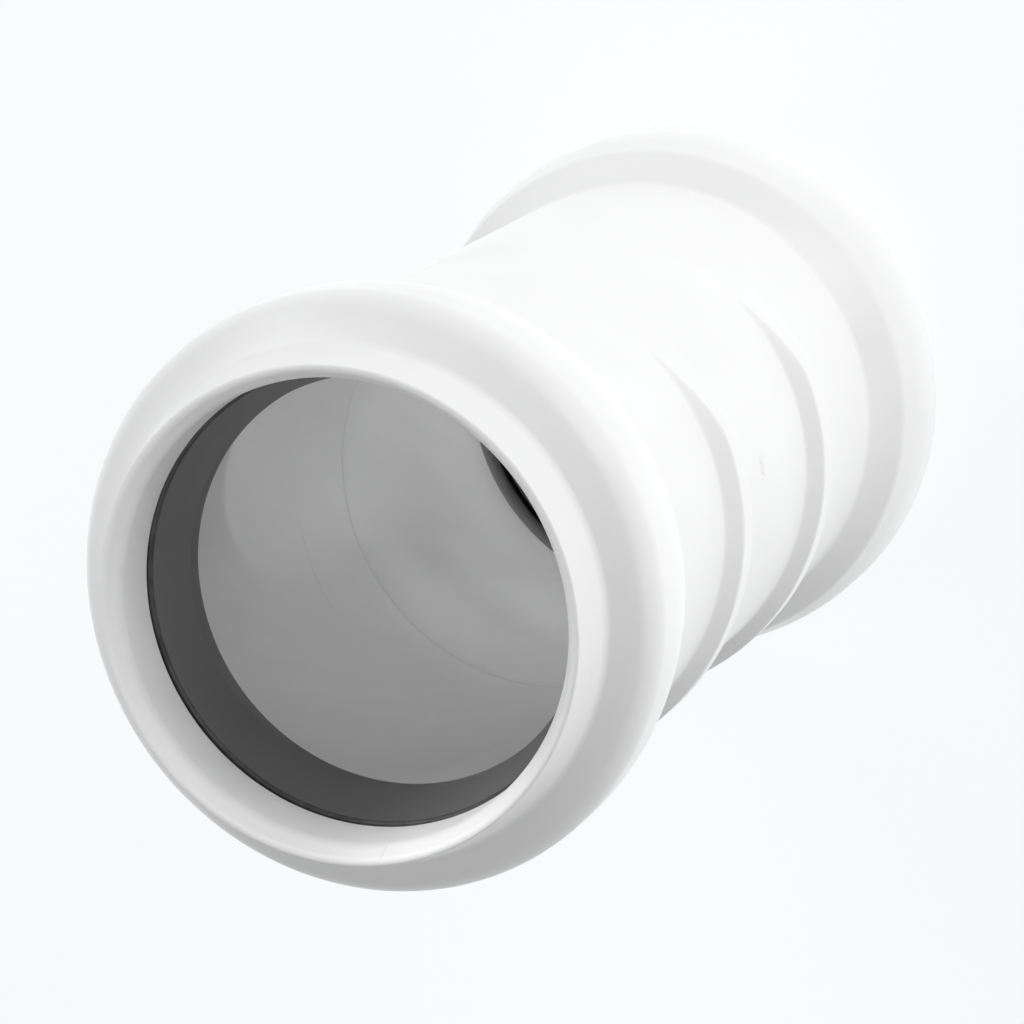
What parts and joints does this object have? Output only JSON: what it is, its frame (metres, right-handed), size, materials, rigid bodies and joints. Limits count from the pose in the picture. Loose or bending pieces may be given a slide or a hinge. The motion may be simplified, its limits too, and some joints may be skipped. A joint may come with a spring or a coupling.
{
  "type": "pipe slip coupling",
  "caption": "Push-fit sleeve that joins plastic waste pipes end to end, with a rubber lip seal in a bulge at each mouth and raised half-round ribs across one side of its barrel.",
  "frame": {"origin": "centre of the lower rim, in the rim's plane and on the bore's axis", "axes": "+Z along the bore to the upper mouth, +X towards the middle of the raised ribs"},
  "size_m": [0.0544, 0.0544, 0.1048],
  "materials": {
    "moulded_plastic": "white polypropylene as moulded, satin",
    "seal_rubber": "dark grey moulded rubber, matt"
  },
  "bodies": {
    "root": {"coupling_body": "moulded_plastic", "lower_seal": "seal_rubber", "upper_seal": "seal_rubber"}
  },
  "joints": []
}
